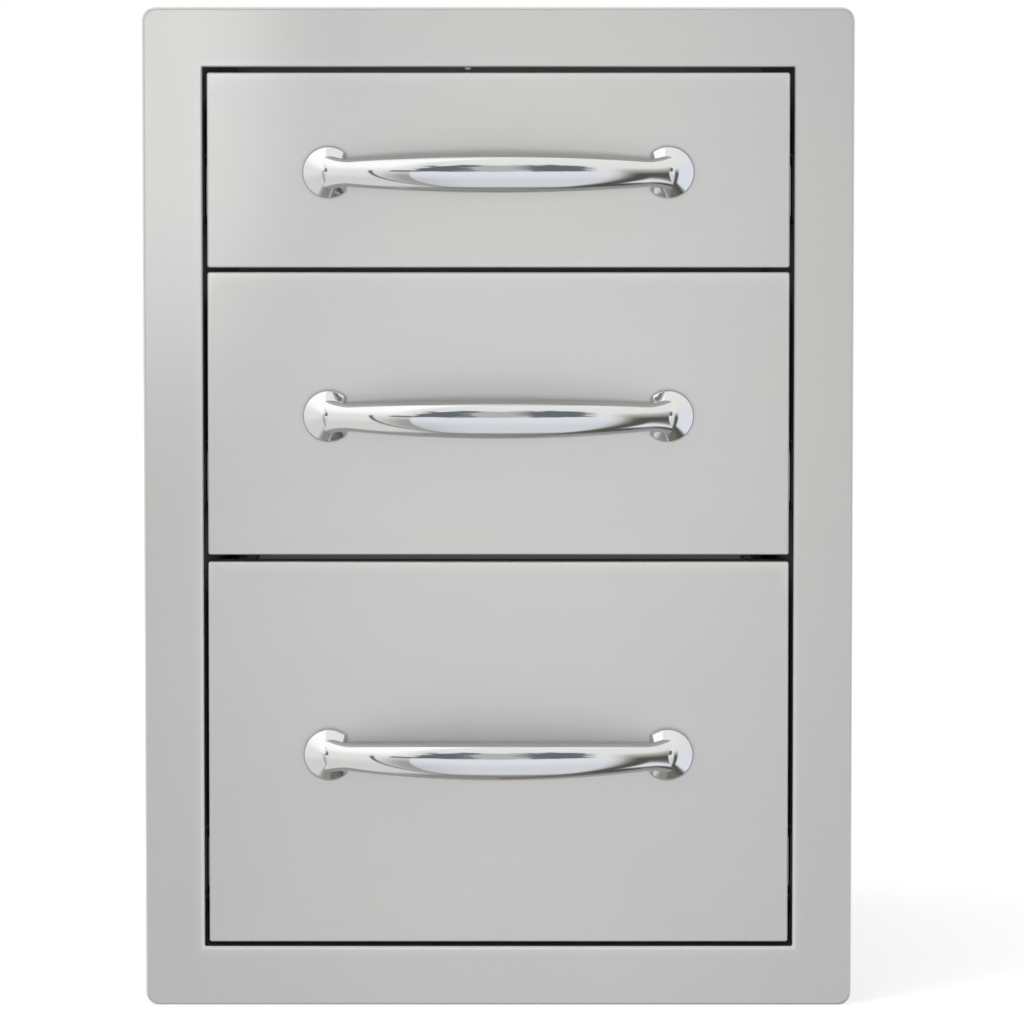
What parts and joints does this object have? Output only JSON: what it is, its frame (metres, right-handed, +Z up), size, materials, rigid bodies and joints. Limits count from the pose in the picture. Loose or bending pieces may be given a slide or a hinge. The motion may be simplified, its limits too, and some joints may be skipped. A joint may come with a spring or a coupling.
{
  "type": "outdoor kitchen drawer unit",
  "caption": "Built-in stainless steel drawer unit for an outdoor kitchen: inset fronts in a flush face frame, bowed chrome pulls, and drawer boxes on full extension ball slides.",
  "frame": {"origin": "middle of the lower bearing lip, on the plane where the frame's lips meet the wall", "axes": "+X to the right seen from the front, +Y into the wall, +Z up"},
  "size_m": [0.4318, 0.5578, 0.6096],
  "materials": {
    "brushed_steel": "satin, grained along the length of each member and front",
    "plain_steel": "mill finish sheet",
    "chrome": "polished",
    "zinc_plate": "bright zinc plate",
    "black_nylon": "moulded"
  },
  "bodies": {
    "chassis": {"face_frame": "brushed_steel", "casing_side_left": "plain_steel", "casing_side_right": "plain_steel", "casing_top": "plain_steel", "casing_floor": "plain_steel", "casing_back": "plain_steel", "bottom_cabinet_member_left": "zinc_plate", "bottom_cabinet_member_right": "zinc_plate", "middle_cabinet_member_left": "zinc_plate", "middle_cabinet_member_right": "zinc_plate", "top_cabinet_member_left": "zinc_plate", "top_cabinet_member_right": "zinc_plate"},
    "bottom_drawer": {"bottom_front_panel": "brushed_steel", "bottom_front_liner": "plain_steel", "bottom_drawer_box": "plain_steel", "bottom_handle": "chrome", "bottom_handle_screw_left": "zinc_plate", "bottom_handle_screw_right": "zinc_plate", "bottom_drawer_member_left": "zinc_plate", "bottom_drawer_member_right": "zinc_plate"},
    "bottom_intermediates": {"bottom_intermediate_member_left": "zinc_plate", "bottom_intermediate_member_right": "zinc_plate"},
    "bottom_outer_retainers": {"bottom_outer_retainer_left": "zinc_plate", "bottom_outer_retainer_right": "zinc_plate"},
    "bottom_inner_retainers": {"bottom_inner_retainer_left": "zinc_plate", "bottom_inner_retainer_right": "zinc_plate"},
    "bottom_lever_left": {"bottom_release_lever_left": "black_nylon"},
    "bottom_lever_right": {"bottom_release_lever_right": "black_nylon"},
    "middle_drawer": {"middle_front_panel": "brushed_steel", "middle_front_liner": "plain_steel", "middle_drawer_box": "plain_steel", "middle_handle": "chrome", "middle_handle_screw_left": "zinc_plate", "middle_handle_screw_right": "zinc_plate", "middle_drawer_member_left": "zinc_plate", "middle_drawer_member_right": "zinc_plate"},
    "middle_intermediates": {"middle_intermediate_member_left": "zinc_plate", "middle_intermediate_member_right": "zinc_plate"},
    "middle_outer_retainers": {"middle_outer_retainer_left": "zinc_plate", "middle_outer_retainer_right": "zinc_plate"},
    "middle_inner_retainers": {"middle_inner_retainer_left": "zinc_plate", "middle_inner_retainer_right": "zinc_plate"},
    "middle_lever_left": {"middle_release_lever_left": "black_nylon"},
    "middle_lever_right": {"middle_release_lever_right": "black_nylon"},
    "top_drawer": {"top_front_panel": "brushed_steel", "top_front_liner": "plain_steel", "top_drawer_box": "plain_steel", "top_handle": "chrome", "top_handle_screw_left": "zinc_plate", "top_handle_screw_right": "zinc_plate", "top_drawer_member_left": "zinc_plate", "top_drawer_member_right": "zinc_plate"},
    "top_intermediates": {"top_intermediate_member_left": "zinc_plate", "top_intermediate_member_right": "zinc_plate"},
    "top_outer_retainers": {"top_outer_retainer_left": "zinc_plate", "top_outer_retainer_right": "zinc_plate"},
    "top_inner_retainers": {"top_inner_retainer_left": "zinc_plate", "top_inner_retainer_right": "zinc_plate"},
    "top_lever_left": {"top_release_lever_left": "black_nylon"},
    "top_lever_right": {"top_release_lever_right": "black_nylon"}
  },
  "joints": [
    {"name": "bottom_drawer_slide", "type": "slide", "parent": "chassis", "child": "bottom_drawer", "axis": [0, -1, 0], "range_m": [0, 0.44]},
    {"name": "bottom_intermediate_slide", "type": "slide", "parent": "chassis", "child": "bottom_intermediates", "axis": [0, -1, 0], "range_m": [0, 0.22]},
    {"name": "bottom_outer_retainer_slide", "type": "slide", "parent": "chassis", "child": "bottom_outer_retainers", "axis": [0, -1, 0], "range_m": [0, 0.11]},
    {"name": "bottom_inner_retainer_slide", "type": "slide", "parent": "chassis", "child": "bottom_inner_retainers", "axis": [0, -1, 0], "range_m": [0, 0.33]},
    {"name": "bottom_lever_left_pivot", "type": "hinge", "parent": "bottom_drawer", "child": "bottom_lever_left", "pos_m": [-0.1709, 0.201, 0.078], "axis": [1, 0, 0], "range_deg": [0, 6], "stiffness_Nm_per_rad": 0.05},
    {"name": "bottom_lever_right_pivot", "type": "hinge", "parent": "bottom_drawer", "child": "bottom_lever_right", "pos_m": [0.1709, 0.201, 0.078], "axis": [-1, 0, 0], "range_deg": [0, 6], "stiffness_Nm_per_rad": 0.05},
    {"name": "middle_drawer_slide", "type": "slide", "parent": "chassis", "child": "middle_drawer", "axis": [0, -1, 0], "range_m": [0, 0.44]},
    {"name": "middle_intermediate_slide", "type": "slide", "parent": "chassis", "child": "middle_intermediates", "axis": [0, -1, 0], "range_m": [0, 0.22]},
    {"name": "middle_outer_retainer_slide", "type": "slide", "parent": "chassis", "child": "middle_outer_retainers", "axis": [0, -1, 0], "range_m": [0, 0.11]},
    {"name": "middle_inner_retainer_slide", "type": "slide", "parent": "chassis", "child": "middle_inner_retainers", "axis": [0, -1, 0], "range_m": [0, 0.33]},
    {"name": "middle_lever_left_pivot", "type": "hinge", "parent": "middle_drawer", "child": "middle_lever_left", "pos_m": [-0.1709, 0.201, 0.3156], "axis": [1, 0, 0], "range_deg": [0, 6], "stiffness_Nm_per_rad": 0.05},
    {"name": "middle_lever_right_pivot", "type": "hinge", "parent": "middle_drawer", "child": "middle_lever_right", "pos_m": [0.1709, 0.201, 0.3156], "axis": [-1, 0, 0], "range_deg": [0, 6], "stiffness_Nm_per_rad": 0.05},
    {"name": "top_drawer_slide", "type": "slide", "parent": "chassis", "child": "top_drawer", "axis": [0, -1, 0], "range_m": [0, 0.44]},
    {"name": "top_intermediate_slide", "type": "slide", "parent": "chassis", "child": "top_intermediates", "axis": [0, -1, 0], "range_m": [0, 0.22]},
    {"name": "top_outer_retainer_slide", "type": "slide", "parent": "chassis", "child": "top_outer_retainers", "axis": [0, -1, 0], "range_m": [0, 0.11]},
    {"name": "top_inner_retainer_slide", "type": "slide", "parent": "chassis", "child": "top_inner_retainers", "axis": [0, -1, 0], "range_m": [0, 0.33]},
    {"name": "top_lever_left_pivot", "type": "hinge", "parent": "top_drawer", "child": "top_lever_left", "pos_m": [-0.1709, 0.201, 0.4906], "axis": [1, 0, 0], "range_deg": [0, 6], "stiffness_Nm_per_rad": 0.05},
    {"name": "top_lever_right_pivot", "type": "hinge", "parent": "top_drawer", "child": "top_lever_right", "pos_m": [0.1709, 0.201, 0.4906], "axis": [-1, 0, 0], "range_deg": [0, 6], "stiffness_Nm_per_rad": 0.05}
  ],
  "couplings": [
    {"joint": "bottom_intermediate_slide", "follows": "bottom_drawer_slide", "ratio": 0.5},
    {"joint": "bottom_outer_retainer_slide", "follows": "bottom_drawer_slide", "ratio": 0.25},
    {"joint": "bottom_inner_retainer_slide", "follows": "bottom_drawer_slide", "ratio": 0.75},
    {"joint": "middle_intermediate_slide", "follows": "middle_drawer_slide", "ratio": 0.5},
    {"joint": "middle_outer_retainer_slide", "follows": "middle_drawer_slide", "ratio": 0.25},
    {"joint": "middle_inner_retainer_slide", "follows": "middle_drawer_slide", "ratio": 0.75},
    {"joint": "top_intermediate_slide", "follows": "top_drawer_slide", "ratio": 0.5},
    {"joint": "top_outer_retainer_slide", "follows": "top_drawer_slide", "ratio": 0.25},
    {"joint": "top_inner_retainer_slide", "follows": "top_drawer_slide", "ratio": 0.75}
  ]
}
